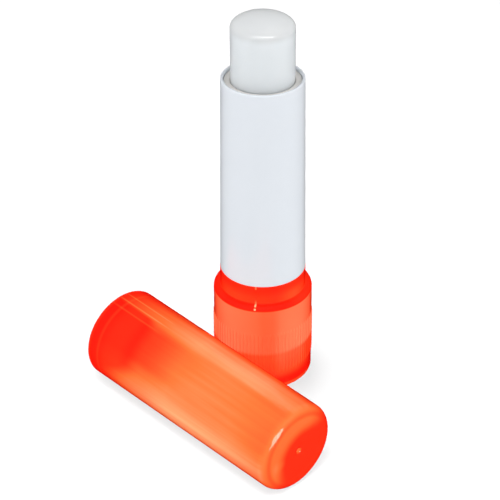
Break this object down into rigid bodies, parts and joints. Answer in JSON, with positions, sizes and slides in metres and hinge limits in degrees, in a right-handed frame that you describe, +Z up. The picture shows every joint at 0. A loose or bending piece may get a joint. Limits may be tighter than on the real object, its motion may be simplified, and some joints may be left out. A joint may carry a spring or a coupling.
{
  "type": "lip balm stick",
  "caption": "Round twist-up lip balm stick with a ribbed turning base, a slim barrel and a pull-off cap laid beside it.",
  "frame": {"origin": "centre of the base's flat foot, on the surface it stands on", "axes": "+Z up along the stick's axis; +X along the cap lying beside it, from its mouth to its closed end; the cap lies on the -Y side"},
  "size_m": [0.0483, 0.0403, 0.075],
  "materials": {
    "base_plastic": "translucent orange, glossy",
    "cap_plastic": "translucent orange, glossy",
    "barrel_plastic": "white, glossy",
    "sleeve_plastic": "white, satin",
    "cup_plastic": "white, satin",
    "balm_wax": "milky wax, slightly translucent"
  },
  "bodies": {
    "base": {"base": "base_plastic", "inner_sleeve": "sleeve_plastic"},
    "barrel": {"barrel": "barrel_plastic"},
    "balm_carrier": {"balm_cup": "cup_plastic", "balm": "balm_wax"},
    "cap": {"cap": "cap_plastic"}
  },
  "joints": [
    {"name": "balm_slide", "type": "slide", "parent": "base", "child": "balm_carrier", "axis": [0, 0, 1], "range_m": [-0.013, 0.02]},
    {"name": "barrel_turn", "type": "hinge", "parent": "base", "child": "barrel", "pos_m": [0, 0, 0.02], "axis": [0, 0, 1], "range_deg": [-360, 234]},
    {"name": "cap_lift", "type": "slide", "parent": "base", "child": "cap", "axis": [0, 0, 1], "range_m": [0, 0.08]}
  ],
  "couplings": [
    {"joint": "barrel_turn", "follows": "balm_slide", "rad_per_m": -314.16}
  ]
}
